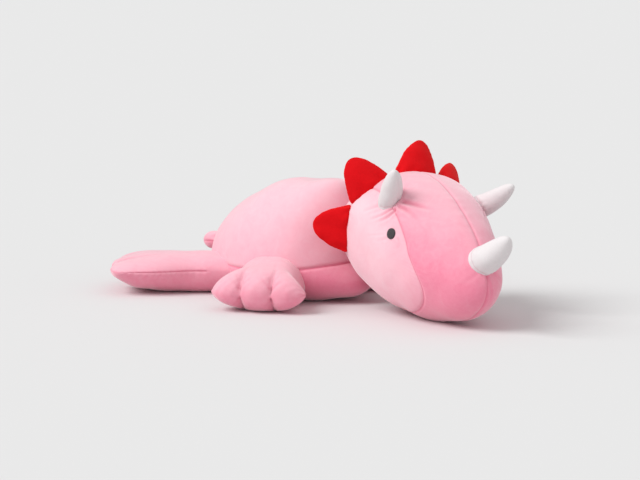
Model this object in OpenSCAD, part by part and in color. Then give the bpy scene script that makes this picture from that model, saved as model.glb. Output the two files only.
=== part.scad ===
// Stuffed horned dinosaur that lies on its belly: a sewn and filled body, a nodding head with
// three horns and a frill of five spikes, four splayed legs with three toes each, and a short tail.
// Millimetres. X runs from tail to head, Y to the toy's left, Z up. The origin is the middle of
// the flat that the belly rests on.

/* [Body] */
// Length from the origin back to the rump
body_rear = 178; // [168:1:186]
// Length from the origin forward to the chest
body_front = 108; // [100:1:110]
// Width of the torso at its widest
body_w = 206; // [198:1:214]
// Height of the back above the floor
body_h = 176; // [168:1:182]
// Height of the seam between the back and the belly along the sides
seam_h = 46; // [42:1:50]
// How much the seam rises at the chest
seam_rise = 15; // [8:1:18]
// How far the chest bulges forward below the seam
chest_bulge = 34; // [20:1:36]
// How much the torso narrows toward both ends
end_taper = 0.14; // [0:0.01:0.2]

/* [Head] */
// Radius of the skull in side view
skull_r = 104; // [98:1:105]
// Radius of the muzzle in side view
muzzle_r = 77; // [72:1:80]
// How far the muzzle reaches ahead of the skull
muzzle_reach = 117; // [108:1:120]
// Width of the head from cheek to cheek
head_w = 192; // [182:1:198]
// How far back the cheeks sweep
cheek_sweep = 60; // [50:1:64]
// Angle from the middle of the face to a cheek seam, at the brow
brow_half = 47; // [42:1:50]
// The same angle at the chin
chin_half = 20; // [18:1:28]
// How far the head nods down
head_nod = 13; // [9:1:15]
// How far the head turns to its right
head_turn = 20; // [12:1:21]
// How far the head leans to its left
head_lean = 3; // [0:1:5]

/* [Horns and frill] */
// Length of each brow horn
brow_horn_l = 66; // [60:1:74]
// Radius of a brow horn at its base
brow_horn_r = 18; // [16:1:21]
// Length of the nose horn
nose_horn_l = 72; // [60:1:74]
// Radius of the nose horn at its base
nose_horn_r = 22; // [20:1:25]
// Width of a frill spike at its base
spike_w = 74; // [64:1:76]
// Height of a frill spike
spike_h = 44; // [36:1:50]
// Thickness of a frill spike
spike_t = 20; // [14:1:22]
// Diameter of an eye
eye_d = 15; // [11:0.5:17]

/* [Legs and tail] */
// Length of a front leg from its root to its toes
front_leg_l = 88; // [78:1:96]
// Length of a back leg from its root to its toes
back_leg_l = 152; // [146:1:166]
// Thickness of a foot
leg_t = 57; // [50:1:60]
// Width of a leg at its root
leg_root_w = 100; // [88:1:106]
// Width of a foot across its toes
foot_w = 140; // [126:1:146]
// Length of the tail
tail_l = 40; // [32:1:46]
// Radius of the tail at its widest
tail_r = 19; // [15:1:21]

/* [Fabric] */
// Thickness of the plush fabric
fabric_t = 2; // [1.6:0.1:2.4]

/* [Hidden] */
pink = [0.98, 0.70, 0.78];
red = [0.85, 0.02, 0.06];
white = [0.95, 0.94, 0.93];
fibre = [0.93, 0.91, 0.87];
thread = [0.90, 0.48, 0.60];
black = [0.13, 0.11, 0.12];

pad = 0.3;            // room between a fabric panel and the stuffing behind it
sunk = 3;             // how far the belly and chin are pressed out flat by the floor
fold = 0.4;           // room under a horn, an eye or a spike where it is sewn on
neck_r = 20;          // radius of the neck stuffing
neck_room = 0.8;      // room around the neck stuffing

// Where the middle of the skull is over the floor plan, and the middle of the neck seam.
skull_x = 222;
skull_y = 11;
neck = [107, -4, 103];

// The tail seam, and how far the tail points down.
tail_seam = [-182, 0, 61];
tail_droop = 4;

// Legs: name, place of the shoulder or hip, the way that the leg points, its length, how far that
// way turns from square to the torso, and how much higher the leg is at its root. The place's
// height is that of the seam round the leg.
shoulder = [30, 101, 27];
hip = [-123.5, 75.5, 36];
legs = [
    ["front_right", [shoulder.x, -shoulder.y, shoulder.z], -60, front_leg_l, 15, 12],
    ["front_left", shoulder, 60, front_leg_l, -15, 12],
    ["back_right", [hip.x, -hip.y, hip.z], -139, back_leg_l, -23, 0],
    ["back_left", hip, 139, back_leg_l, 23, 0]
];

// Around the head, 0 is the crown, 90 the nose, 180 the throat and 270 the nape.
frill_at = -31;
frill_under = 200;
throat_at = 240;
brow_at = [8, 14];
brow_in = [4, 0];
nose_at = 60;
eye_at = 45;
eye_across = 54;
muzzle_aim = 92;

// How far each brow horn tips forward, from the right one to the left one, and how far it splays.
brow_tips = [32, 44];
brow_splays = [17, 21];
nose_horn_rise = 42;

// The place of each frill spike round the frill, from the right cheek to the left, its size, how
// far it leans back, and how far its tip is pulled to one side.
spikes = [-90, -47, 0, 41, 90];
spike_sizes = [0.95, 1.1, 1, 0.84, 0.95];
spike_leans = [27, 7, 0, 30, 27];
spike_pulls = [0, 9, 11, 0, 0];
spike_names = ["right_low", "right_high", "top", "left_high", "left_low"];

body_turns = 36;

// How roundly the back closes over, how much more roundly at the rump and how much less at the
// nape, how much the nape is filled out, and how squarely the belly turns under.
back_round = 1.12;
rump_round = 0.24;
nape_round = 0.6;
nape_lift = 22;
belly_round = 0.55;

// How the head's sides close at the skull, and how much more at the muzzle.
skull_round = 0.85;
muzzle_round = 0.6;

// How far a horn's root goes into the face, how its sides close, and how narrow the tail's root is.
horn_root = 14;
horn_round = 1.15;
tail_waist = 0.3;

// The satin stitching of an eye: how high it is, and how much of that is its edge.
eye_dome = 1;
eye_edge = 0.6;

// How much of a spike's outline is straight, how its faces close, and its lift over the frill seam.
spike_straight = 0.66;
spike_round = [0.7, 0.8];
spike_off = 1;

// How far a leg's root curves back at its edges, how far the toes stand out, how far the outer
// toes are set back, how deep the clefts between them go, and how bluntly a foot ends.
root_round = 22;
toe_l = 13;
toe_set_back = 12;
cleft = 0.5;
toe_blunt = 4.2;

// A pull stitch between two toes: its radius, its length, and how far it stands out.
stitch_r = 0.8;
stitch_l = 9;
stitch_out = 1.2;

// The sewn pieces in order: torso, head, horns, eyes, frill, tail and legs.
leg_pieces = ["upper", "sole", "stuffing", "toe_stitches"];
NODES = concat(
    ["back_panel", "belly_panel", "body_stuffing", "neck_stuffing"],
    ["right_face", "left_face", "right_cheek", "left_cheek", "head_back_panel", "head_stuffing"],
    ["right_brow_horn", "left_brow_horn", "nose_horn"],
    ["right_brow_horn_stuffing", "left_brow_horn_stuffing", "nose_horn_stuffing"],
    ["right_eye", "left_eye", "tail_cover", "tail_stuffing"],
    [for (n = spike_names) each [for (p = ["front", "rear", "batting"]) str("spike_", n, "_", p)]],
    [for (l = legs) each [for (p = leg_pieces) str("leg_", l[0], "_", p)]]
);
node = "all";

// ---- Grids of points made into closed solids ----

function all_points(rows) = [for (r = rows) each r];
function fresh(t) = t[0] != t[1] && t[1] != t[2] && t[2] != t[0];

// A grid point's number. A pole row is one point, and a wrapped row ends on its first point.
function at(i, j, g) =
    let (pole = (i == 0 && g[3]) || (i == g[0] && g[4]))
    i * (g[1] + 1) + (pole ? 0 : g[2] ? j % g[1] : j);

// Both triangles of each cell of the grid g = [rows, columns, wrapped, pole first, pole last], cut
// from corner to corner one way or the other.
function cells(g, other = false) = [
    for (i = [0:g[0] - 1], j = [0:g[1] - 1])
        let (a = at(i, j, g), b = at(i + 1, j, g), c = at(i + 1, j + 1, g), d = at(i, j + 1, g))
        each [for (t = other ? [[a, b, d], [b, c, d]] : [[a, b, c], [a, c, d]]) if (fresh(t)) t]
];

// The strip of wall that joins an edge of the outer grid to the same edge of the inner one.
function wall(edge, n) = [
    for (k = [0:len(edge) - 2])
        let (p = edge[k], q = edge[k + 1])
        if (p != q) each [[p, q, q + n], [p, q + n, p + n]]
];

function walls(g, n) = concat(
    g[3] ? [] : wall([for (j = [0:g[1]]) at(0, j, g)], n),
    g[4] ? [] : wall([for (j = [g[1]:-1:0]) at(g[0], j, g)], n),
    g[2] ? [] : wall([for (i = [g[0]:-1:0]) at(i, 0, g)], n),
    g[2] ? [] : wall([for (i = [0:g[0]]) at(i, g[1], g)], n)
);

// A sewn panel: an outer grid, an inner grid a fabric's thickness behind it, and its cut edges.
// A flat bag of stuffing is made the same way, with the other cut for the cells of its far side.
module panel(outer, inner, wrapped = false, pole_first = false, pole_last = false, bag = false) {
    g = [len(outer) - 1, len(outer[0]) - 1, wrapped, pole_first, pole_last];
    n = (g[0] + 1) * (g[1] + 1);
    inside = [for (t = cells(g, bag)) [t[2] + n, t[1] + n, t[0] + n]];
    polyhedron(concat(all_points(outer), all_points(inner)), concat(walls(g, n), cells(g), inside));
}

// A closed lump of stuffing with a pole at each end.
module lump(rows) {
    polyhedron(all_points(rows), cells([len(rows) - 1, len(rows[0]) - 1, true, true, true]));
}

function rest(list) = [for (k = [1:len(list) - 1]) list[k]];
function shorter(list) = [for (k = [0:len(list) - 2]) list[k]];
function steps(from, to, n) = [for (k = [0:n]) from + (to - from) * k / n];
function off_floor(p, lowest) = [p.x, p.y, max(p.z, lowest)];
function smooth(low, high, x) = let (t = min(1, max(0, (x - low) / (high - low)))) t * t * (3 - 2 * t);

function rx(a) = [[1, 0, 0], [0, cos(a), -sin(a)], [0, sin(a), cos(a)]];
function ry(a) = [[cos(a), 0, sin(a)], [0, 1, 0], [-sin(a), 0, cos(a)]];
function rz(a) = [[cos(a), -sin(a), 0], [sin(a), cos(a), 0], [0, 0, 1]];
function unit(v) = v / norm(v);

// Moves a part drawn along +Z to the point p, to stand along the direction d.
module stand(p, d) {
    translate(p) rotate([0, acos(d.z / norm(d)), atan2(d.y, d.x)]) children();
}

// ---- Torso ----

// A point of the torso: turn goes round it from the chest, and climb from the belly at -90 past
// the side seam at 0 to the ridge of the back at 90.
function torso_point(turn, climb, inset) =
    let (
        nape = pow(max(0, cos(turn)), 2),
        rump = pow(max(0, -cos(turn)), 2),
        over = back_round + rump_round * rump - nape_round * nape,
        closing = pow(max(0, cos(climb)), climb > 0 ? over : belly_round),
        bulge = climb < 0 ? chest_bulge * nape * sin(-2 * climb) : 0,
        reach = (cos(turn) > 0 ? body_front + bulge : body_rear) - inset,
        side = (body_w / 2 - inset) * (1 - end_taper * pow(cos(turn), 2)),
        seam = seam_h + seam_rise * nape,
        lift = nape_lift * nape * pow(sin(2 * climb), 2),
        rise = climb > 0 ? (body_h - seam - inset) * sin(climb) + lift : (seam + sunk) * sin(climb)
    )
    [reach * cos(turn) * closing, side * sin(turn) * closing, seam + rise];

function torso_grid(climbs, inset, lowest) = [
    for (c = climbs) [for (t = steps(0, 360, body_turns)) off_floor(torso_point(t, c, inset), lowest)]
];

module neck_opening() {
    translate(neck) sphere(r = neck_r + neck_room, $fn = 48);
}

module below_floor() {
    translate([-400, -400, -100]) cube([800, 800, 100]);
}

belly_climbs = [-90, -75, -60, -45, -30, -16, 0];
back_climbs = [0, 9, 18, 28, 39, 51, 64, 77, 90];

module back_panel() {
    outer = torso_grid(back_climbs, 0, 0);
    inner = torso_grid(back_climbs, fabric_t, 0);
    color(pink)
        difference() {
            panel(outer, inner, wrapped = true, pole_last = true);
            neck_opening();
        }
}

module belly_panel() {
    outer = torso_grid(belly_climbs, 0, -sunk);
    inner = torso_grid(belly_climbs, fabric_t, fabric_t);
    color(pink)
        difference() {
            panel(outer, inner, wrapped = true, pole_first = true);
            below_floor();
        }
}

module body_stuffing() {
    color(fibre)
        difference() {
            lump(torso_grid(concat(belly_climbs, rest(back_climbs)), fabric_t + pad, fabric_t + pad));
            neck_opening();
        }
}

module neck_stuffing() {
    color(fibre) translate(neck) sphere(r = neck_r, $fn = 48);
}

// ---- Head ----

// How much of the muzzle is in the outline at an angle round the head.
function muzzle_share(round) = pow((1 + cos(round - muzzle_aim)) / 2, 2);

// A point of the head in its own frame: round turns about the line from cheek to cheek, and
// across goes from the right cheek at -90 to the left cheek at 90.
function head_point(round, across, inset) =
    let (
        share = muzzle_share(round),
        r = skull_r + share * (muzzle_r - skull_r) - inset,
        closing = pow(max(0, cos(across)), skull_round + muzzle_round * share),
        sweep = cheek_sweep * (1 - cos(across)),
        forward = share * muzzle_reach * sin(muzzle_aim) + r * sin(round),
        up = share * muzzle_reach * cos(muzzle_aim) + r * cos(round)
    )
    [forward * closing - sweep, (head_w / 2 - inset) * sin(across), up * closing];

head_pose = rz(-head_turn) * ry(head_nod) * rx(-head_lean);
chin_low = min([for (a = [90:10:270], b = [-60:10:60]) (head_pose * head_point(a, b, 0)).z]);
skull = [skull_x, skull_y, -chin_low - sunk];

function on_head(round, across, inset) = skull + head_pose * head_point(round, across, inset);

// Outward direction of the head's surface.
function head_normal(round, across) =
    let (
        along = on_head(round + 1, across, 0) - on_head(round - 1, across, 0),
        aside = on_head(round, across + 1, 0) - on_head(round, across - 1, 0)
    )
    unit(cross(along, aside));

// How far out from the middle of the face the cheek seams lie, and where their line goes on
// behind the frill seam.
function seam_half(round) =
    round < throat_at
        ? brow_half + (chin_half - brow_half) * smooth(60, 190, round)
        : chin_half + (brow_half - chin_half) * smooth(throat_at, 360 + frill_at, round);

// The rows of the head: part runs from -2 at the right cheek, past -1 and 1 at the cheek seams
// and 0 in the middle of the face, to 2 at the left cheek.
function row_across(part, round) =
    let (half = seam_half(round))
    abs(part) < 1 ? half * part : sign(part) * (half + (90 - half) * (abs(part) - 1));

function head_grid(rounds, parts, inset, lowest) = [
    for (p = parts) [for (a = rounds) off_floor(on_head(a, row_across(p, a), inset), lowest)]
];

face_rounds = steps(frill_at, throat_at, 18);
nape_rounds = steps(throat_at, 360 + frill_at, 6);
cheek_rows = 6;
face_rows = 3;
cheek_parts = steps(-2, -1, cheek_rows);
face_parts = steps(-1 + 1 / face_rows, 1 - 1 / face_rows, 2 * face_rows - 2);
head_parts = concat(cheek_parts, face_parts, [for (k = [cheek_rows:-1:0]) -cheek_parts[k]]);

module head_panel(rounds, parts, pole_first = false, pole_last = false) {
    color(pink)
        panel(
            head_grid(rounds, parts, 0, 0),
            head_grid(rounds, parts, fabric_t, fabric_t),
            pole_first = pole_first,
            pole_last = pole_last
        );
}

module right_face() {
    head_panel(face_rounds, steps(-1, 0, face_rows));
}

module left_face() {
    head_panel(face_rounds, steps(0, 1, face_rows));
}

module right_cheek() {
    head_panel(face_rounds, cheek_parts, pole_first = true);
}

module left_cheek() {
    head_panel(face_rounds, steps(1, 2, cheek_rows), pole_last = true);
}

module head_back_panel() {
    difference() {
        head_panel(nape_rounds, head_parts, pole_first = true, pole_last = true);
        neck_opening();
    }
}

module head_stuffing() {
    rounds = concat(face_rounds, rest(nape_rounds));
    color(fibre)
        difference() {
            lump(head_grid(rounds, head_parts, fabric_t + pad, fabric_t + pad));
            neck_opening();
        }
}

// ---- Horns, eyes and tail ----

// Half of the outline of a sewn cone with a round tip, drawn from its base to its tip.
function cone_side(r, l, waist, n) = [
    for (a = steps(0, 90, n)) [r * pow(cos(a), horn_round) * (1 - waist * pow(cos(a), 6)), l * sin(a)]
];

module cone_cover(r, l, waist) {
    rotate_extrude($fn = 48)
        polygon(concat(
            cone_side(r, l, waist, 9),
            [for (k = [9:-1:0]) cone_side(r - fabric_t, l - fabric_t, waist, 9)[k]]
        ));
}

module cone_stuffing(r, l, waist) {
    rotate_extrude($fn = 48)
        polygon(concat([[0, 0]], cone_side(r - fabric_t - pad, l - fabric_t - pad, waist, 9)));
}

// A horn's direction in the head's frame, from how far it tips forward and how far it splays.
function horn_way(tip, splay) = head_pose * [sin(tip) * cos(splay), sin(splay), cos(tip) * cos(splay)];

// A horn sewn on at a place on the head. Its base is cut off along the face.
module sewn_on(round, across, way) {
    place = on_head(round, across, 0);
    out = head_normal(round, across);
    difference() {
        stand(place - way * horn_root, way) children();
        stand(place + out * fold, out) translate([-60, -60, -60]) cube([120, 120, 60]);
    }
}

// side is -1 for the right brow and 1 for the left.
module on_brow(side) {
    k = (side + 1) / 2;
    sewn_on(brow_at[k], side * (brow_half - brow_in[k]), horn_way(brow_tips[k], side * brow_splays[k]))
        children();
}

module on_nose() {
    sewn_on(nose_at, 0, horn_way(90 - nose_horn_rise, 0)) children();
}

module horn(r, l) {
    color(white) cone_cover(r, l + horn_root, 0);
}

module horn_stuffing(r, l) {
    color(fibre) cone_stuffing(r, l + horn_root, 0);
}

// A satin-stitched disc, a little domed.
module eye(side) {
    out = head_normal(eye_at, side * eye_across);
    dome = [for (a = steps(0, 90, 6)) [eye_d / 2 * cos(a), eye_edge + eye_dome * sin(a)]];
    color(black)
        stand(on_head(eye_at, side * eye_across, 0) + out * fold, out)
            rotate_extrude($fn = 48) polygon(concat([[0, 0], [eye_d / 2, 0]], dome));
}

module on_tail() {
    d = ry(-90 - tail_droop) * [0, 0, 1];
    stand(tail_seam, d) children();
}

module tail_cover() {
    color(pink) on_tail() cone_cover(tail_r, tail_l, tail_waist);
}

module tail_stuffing() {
    color(fibre) on_tail() cone_stuffing(tail_r, tail_l, tail_waist);
}

// ---- Frill ----

// A place on the line of the frill, which goes on past the cheeks and down behind them.
function frill_point(turn) =
    abs(turn) > 90
        ? on_head(frill_under, sign(turn) * 180 - turn, 0)
        : on_head(frill_at, turn, 0);

// The place that a spike stands away from, which sweeps back with the cheeks.
function frill_middle(turn) = skull - head_pose * [cheek_sweep * (1 - cos(turn)), 0, 0];

// The front of a spike: s runs from its base to its tip, and q from edge to edge. Gives the
// height over the seam, the place along it, and the bulge.
function spike_point(s, q, inset) =
    let (
        narrowing = spike_straight * (1 - s) + (1 - spike_straight) * sqrt(1 - s * s),
        bulge = pow(max(0, 1 - q * q), spike_round[0]) * pow(max(0, 1 - s * s), spike_round[1])
    )
    [(spike_h - inset) * s, (spike_w / 2 - inset) * q * narrowing, (spike_t / 2 - inset) * bulge];

spike_s = [0, 0.2, 0.4, 0.58, 0.74, 0.87, 0.96, 1];
spike_q = [-1, -0.85, -0.55, -0.2, 0.2, 0.55, 0.85, 1];

function in_frill(spot, k) =
    let (
        turn = spikes[k],
        p = [spot.x * spike_sizes[k], spot.y * spike_sizes[k] + spike_pulls[k] * spot.x / spike_h, spot.z],
        base = frill_point(turn + p.y / skull_r * 180 / PI),
        out = unit(frill_point(turn) - frill_middle(turn)),
        through = unit(cross(frill_point(turn + 3) - frill_point(turn - 3), out))
    )
    base + out * (p.x * cos(spike_leans[k]) + spike_off) + through * (p.z - p.x * sin(spike_leans[k]));

// face is 1 for the front of the spike and -1 for its rear.
function spike_grid(k, face, inset) = [
    for (s = spike_s)
        [for (q = spike_q) let (p = spike_point(s, face * q, inset)) in_frill([p.x, p.y, face * p.z], k)]
];

module spike_face(k, face) {
    color(red) panel(spike_grid(k, face, 0), spike_grid(k, face, fabric_t), pole_last = true);
}

module spike_batting(k) {
    function lens(s, q, face) =
        let (p = spike_point(s, q, fabric_t + pad)) in_frill([p.x, p.y, face * p.z], k);
    color(fibre)
        panel(
            [for (s = shorter(spike_s)) [for (q = rest(shorter(spike_q))) lens(s, q, 1)]],
            [for (s = shorter(spike_s)) [for (q = rest(shorter(spike_q))) lens(s, q, -1)]],
            bag = true
        );
}

// ---- Legs ----

// How far a point across the foot is out on its toe: 1 in a toe's middle, 0 between two toes.
function toe(q) =
    let (middle = abs(q) < 1 / 3 ? 0 : sign(q) * 2 / 3)
    sqrt(max(0, 1 - pow((q - middle) * 3, 2)));

// A point of a leg's side in the leg's frame: s runs from root to toes, q across. The sole
// reaches the floor, and the upper side is thicker at the root than at the toes.
function leg_point(leg, face, s, q, inset) =
    let (
        half = (leg_root_w + (foot_w - leg_root_w) * smooth(0.1, 0.8, s)) / 2 - inset,
        start = root_round * pow(abs(q), 2.2) + half * q * tan(leg[4]),
        finish = leg[3] - inset - toe_l * (1 - toe(q)) - toe_set_back * q * q,
        edge = pow(max(0, 1 - pow(abs(q), 2.6)), 0.6),
        end = pow(max(0, 1 - pow(s, toe_blunt)), 0.58),
        up = leg_t - leg[1].z + leg[5] * pow(1 - s, 1.5),
        thick = (face > 0 ? up : leg[1].z + 1) - inset,
        groove = 1 - cleft * smooth(0.5, 0.97, s) * pow(1 - toe(q), 1.6)
    )
    [start + (finish - start) * s, half * q, face * thick * edge * end * groove];

leg_s = [0, 0.12, 0.28, 0.45, 0.6, 0.73, 0.84, 0.92, 0.975, 1];
leg_q = [-1, -0.93, -0.8, -0.62, -0.46, -1 / 3, -0.2, 0, 0.2, 1 / 3, 0.46, 0.62, 0.8, 0.93, 1];

function in_leg(p, leg, lowest) = off_floor(leg[1] + rz(leg[2]) * p, lowest);

// face is 1 for the upper side and -1 for the sole.
function leg_grid(leg, face, inset) = [
    for (s = leg_s) [for (q = leg_q) in_leg(leg_point(leg, face, s, face * -q, inset), leg, inset)]
];

module leg_panel(leg, face) {
    color(pink) panel(leg_grid(leg, face, 0), leg_grid(leg, face, fabric_t));
}

module leg_stuffing(leg) {
    thin = fabric_t + pad;
    function lens(s, q, face) =
        let (p = leg_point(leg, face, s, -q, thin)) in_leg([p.x, p.y, p.z - face * pad], leg, thin);
    color(fibre)
        panel(
            [for (s = shorter(leg_s)) [for (q = rest(shorter(leg_q))) lens(s, q, 1)]],
            [for (s = shorter(leg_s)) [for (q = rest(shorter(leg_q))) lens(s, q, -1)]],
            bag = true
        );
}

// The pull stitches that draw the sole and the upper together between the toes.
module toe_stitches(leg) {
    for (q = [-1 / 3, 1 / 3]) {
        p = leg_point(leg, 1, 1, q, 0);
        color(thread)
            translate(in_leg([p.x + stitch_out, p.y, 0], leg, 0))
                cylinder(r = stitch_r, h = stitch_l, center = true, $fn = 24);
    }
}

// ---- The toy ----

function wanted(name) = node == "all" || node == name;

if (wanted("back_panel")) back_panel();
if (wanted("belly_panel")) belly_panel();
if (wanted("body_stuffing")) body_stuffing();
if (wanted("neck_stuffing")) neck_stuffing();
if (wanted("right_face")) right_face();
if (wanted("left_face")) left_face();
if (wanted("right_cheek")) right_cheek();
if (wanted("left_cheek")) left_cheek();
if (wanted("head_back_panel")) head_back_panel();
if (wanted("head_stuffing")) head_stuffing();
if (wanted("right_brow_horn")) on_brow(-1) horn(brow_horn_r, brow_horn_l);
if (wanted("left_brow_horn")) on_brow(1) horn(brow_horn_r, brow_horn_l);
if (wanted("nose_horn")) on_nose() horn(nose_horn_r, nose_horn_l);
if (wanted("right_brow_horn_stuffing")) on_brow(-1) horn_stuffing(brow_horn_r, brow_horn_l);
if (wanted("left_brow_horn_stuffing")) on_brow(1) horn_stuffing(brow_horn_r, brow_horn_l);
if (wanted("nose_horn_stuffing")) on_nose() horn_stuffing(nose_horn_r, nose_horn_l);
if (wanted("right_eye")) eye(-1);
if (wanted("left_eye")) eye(1);
if (wanted("tail_cover")) tail_cover();
if (wanted("tail_stuffing")) tail_stuffing();
for (k = [0:4]) {
    if (wanted(str("spike_", spike_names[k], "_front"))) spike_face(k, 1);
    if (wanted(str("spike_", spike_names[k], "_rear"))) spike_face(k, -1);
    if (wanted(str("spike_", spike_names[k], "_batting"))) spike_batting(k);
}
for (leg = legs) {
    if (wanted(str("leg_", leg[0], "_upper"))) leg_panel(leg, 1);
    if (wanted(str("leg_", leg[0], "_sole"))) leg_panel(leg, -1);
    if (wanted(str("leg_", leg[0], "_stuffing"))) leg_stuffing(leg);
    if (wanted(str("leg_", leg[0], "_toe_stitches"))) toe_stitches(leg);
}
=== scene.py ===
import math
import bpy
import numpy as np
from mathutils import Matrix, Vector


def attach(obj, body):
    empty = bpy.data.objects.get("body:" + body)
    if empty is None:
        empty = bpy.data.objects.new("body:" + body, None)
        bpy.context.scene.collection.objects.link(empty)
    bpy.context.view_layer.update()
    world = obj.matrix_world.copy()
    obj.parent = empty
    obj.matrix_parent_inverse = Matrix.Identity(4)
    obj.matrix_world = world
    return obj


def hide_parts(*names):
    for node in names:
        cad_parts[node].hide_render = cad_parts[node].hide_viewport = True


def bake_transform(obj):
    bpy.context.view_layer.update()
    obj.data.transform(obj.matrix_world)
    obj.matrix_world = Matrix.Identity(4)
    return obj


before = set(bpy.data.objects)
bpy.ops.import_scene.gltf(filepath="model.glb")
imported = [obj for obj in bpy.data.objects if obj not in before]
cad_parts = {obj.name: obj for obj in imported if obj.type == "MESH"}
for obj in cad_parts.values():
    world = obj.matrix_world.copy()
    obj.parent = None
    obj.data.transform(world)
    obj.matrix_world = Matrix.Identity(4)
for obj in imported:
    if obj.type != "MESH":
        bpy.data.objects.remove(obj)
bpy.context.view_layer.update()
print("frame loaded:", len(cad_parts), "CAD nodes")


# Camera, light and floor

studio = {
    "azimuth": 45, "elevation": 10, "distance": 3.0, "lens": 112.6,
    "aside": 0.0225, "raise": 0.0795,  # how far the toy sits from the middle of the view
    "sunPower": 2.15, "sunAngle": 36, "sunFrom": (-1.8, 0.7, 1.9),  # right, toward the camera, up
    "fillPower": 0.35, "fillAngle": 90, "fillFrom": (1.4, 1.0, 0.9),
    "skyPower": 0.6, "floorTone": 0.72, "floorHalf": 30, "floorLevel": -0.0006,
}


def setStudio():
    az, el = math.radians(studio["azimuth"]), math.radians(studio["elevation"])
    toCamera = np.array([math.sin(az) * math.cos(el), -math.cos(az) * math.cos(el), math.sin(el)])
    right = np.array([math.cos(az), math.sin(az), 0.0])
    up = np.cross(toCamera, right)
    camera = bpy.data.objects.new("camera", bpy.data.cameras.new("camera"))
    bpy.context.scene.collection.objects.link(camera)
    camera.data.lens = studio["lens"]
    camera.data.clip_end = 100
    camera.location = toCamera * studio["distance"]
    look = camera.location - Vector(right * studio["aside"] + up * studio["raise"])
    camera.rotation_euler = look.to_track_quat("Z", "Y").to_euler()
    bpy.context.scene.camera = camera

    front = np.array([math.sin(az), -math.cos(az), 0.0])
    for name, power, angle, place in (
        ("keyLight", studio["sunPower"], studio["sunAngle"], studio["sunFrom"]),
        ("fillLight", studio["fillPower"], studio["fillAngle"], studio["fillFrom"]),
    ):
        sun = bpy.data.objects.new(name, bpy.data.lights.new(name, "SUN"))
        sun.data.energy = power
        sun.data.angle = math.radians(angle)
        way = right * place[0] + front * place[1] + np.array([0, 0, place[2]])
        tip = math.atan2(math.hypot(way[0], way[1]), way[2])
        sun.rotation_euler = (tip, 0, math.atan2(way[1], way[0]) + math.pi / 2)
        bpy.context.scene.collection.objects.link(sun)

    sky = bpy.data.worlds.new("sky")
    bpy.context.scene.world = sky
    sky.use_nodes = True
    sky.node_tree.nodes["Background"].inputs[0].default_value = (1, 1, 1, 1)
    sky.node_tree.nodes["Background"].inputs[1].default_value = studio["skyPower"]
    bpy.context.scene.view_settings.view_transform = "Standard"

    paper = bpy.data.materials.new("floorPaper")
    paper.use_nodes = True
    shader = paper.node_tree.nodes["Principled BSDF"]
    shader.inputs["Base Color"].default_value = (studio["floorTone"],) * 3 + (1,)
    shader.inputs["Roughness"].default_value = 0.9
    shader.inputs["Specular IOR Level"].default_value = 0.0
    mesh = bpy.data.meshes.new("floor")
    half, level = studio["floorHalf"], studio["floorLevel"]
    corners = [(-half, -half, level), (half, -half, level), (half, half, level), (-half, half, level)]
    mesh.from_pydata(corners, [], [(0, 1, 2, 3)])
    mesh.materials.append(paper)
    floor = bpy.data.objects.new("floor", mesh)
    bpy.context.scene.collection.objects.link(floor)


setStudio()
print("studio set")


# Materials

def linear(r, g, b):
    # display colour from 0 to 255 to the linear value that a shader takes
    c = np.array([r, g, b]) / 255
    c = np.where(c <= 0.04045, c / 12.92, ((c + 0.055) / 1.055) ** 2.4)
    return tuple(float(x) for x in c) + (1.0,)


class Nodes:
    # a short way to add and join shader nodes
    def __init__(self, name):
        self.material = bpy.data.materials.new(name)
        self.material.use_nodes = True
        self.tree = self.material.node_tree
        self.shader = self.tree.nodes["Principled BSDF"]
        self.coords = self.tree.nodes.new("ShaderNodeTexCoord").outputs["Object"]

    def add(self, kind, **values):
        node = self.tree.nodes.new(kind)
        for key, value in values.items():
            if hasattr(node, key):
                setattr(node, key, value)
            else:
                node.inputs[key.replace("_", " ")].default_value = value
        return node

    def join(self, a, b):
        self.tree.links.new(a, b)

    def noise(self, scale, detail=2.0, roughness=0.5, distortion=0.0):
        node = self.add(
            "ShaderNodeTexNoise", Scale=scale, Detail=detail, Roughness=roughness, Distortion=distortion)
        self.join(self.coords, node.inputs["Vector"])
        return node.outputs["Fac"]

    def ramp(self, factor, low, high):
        node = self.add("ShaderNodeValToRGB")
        node.color_ramp.elements[0].position = low
        node.color_ramp.elements[1].position = high
        self.join(factor, node.inputs["Fac"])
        return node.outputs["Color"]

    def mix(self, factor, a, b):
        node = self.add("ShaderNodeMix", data_type="RGBA")
        for socket, value in ((node.inputs[0], factor), (node.inputs[6], a), (node.inputs[7], b)):
            if isinstance(value, bpy.types.NodeSocket):
                self.join(value, socket)
            else:
                socket.default_value = value
        return node.outputs[2]

    def math(self, operation, a, b):
        node = self.add("ShaderNodeMath", operation=operation)
        for socket, value in ((node.inputs[0], a), (node.inputs[1], b)):
            if isinstance(value, bpy.types.NodeSocket):
                self.join(value, socket)
            else:
                socket.default_value = value
        return node.outputs[0]

    def bump(self, height, strength, distance, under=None):
        node = self.add("ShaderNodeBump", Strength=strength, Distance=distance)
        self.join(height, node.inputs["Height"])
        if under is not None:
            self.join(under, node.inputs["Normal"])
        return node.outputs["Normal"]


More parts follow.
